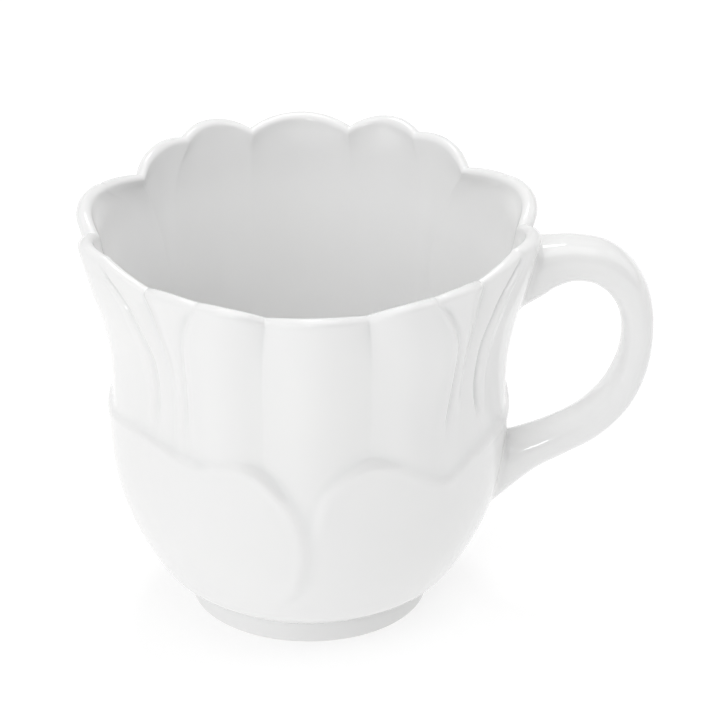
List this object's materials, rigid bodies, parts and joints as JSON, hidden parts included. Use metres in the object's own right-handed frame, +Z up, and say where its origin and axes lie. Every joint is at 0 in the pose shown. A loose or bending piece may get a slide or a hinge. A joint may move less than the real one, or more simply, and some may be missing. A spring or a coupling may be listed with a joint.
{
  "type": "porcelain cup",
  "caption": "Porcelain cup with a scalloped petal rim, moulded petals and leaves, a loop handle and a foot ring.",
  "frame": {"origin": "middle of the cup's bounding box, on the surface it stands on", "axes": "+Z up along the bowl's axis, +X from the bowl towards the handle, -Y towards the front petal"},
  "size_m": [0.122, 0.0988, 0.0905],
  "materials": {
    "body_glaze": "clear gloss glaze over white porcelain",
    "handle_glaze": "clear gloss glaze over white porcelain",
    "foot_glaze": "gloss glaze with a bare matt standing edge",
    "slip_glaze": "glazed joint of fired clay slip"
  },
  "bodies": {
    "root": {"cup_body": "body_glaze", "foot_ring": "foot_glaze", "handle": "handle_glaze", "handle_slip_upper": "slip_glaze", "handle_slip_lower": "slip_glaze"}
  },
  "joints": []
}
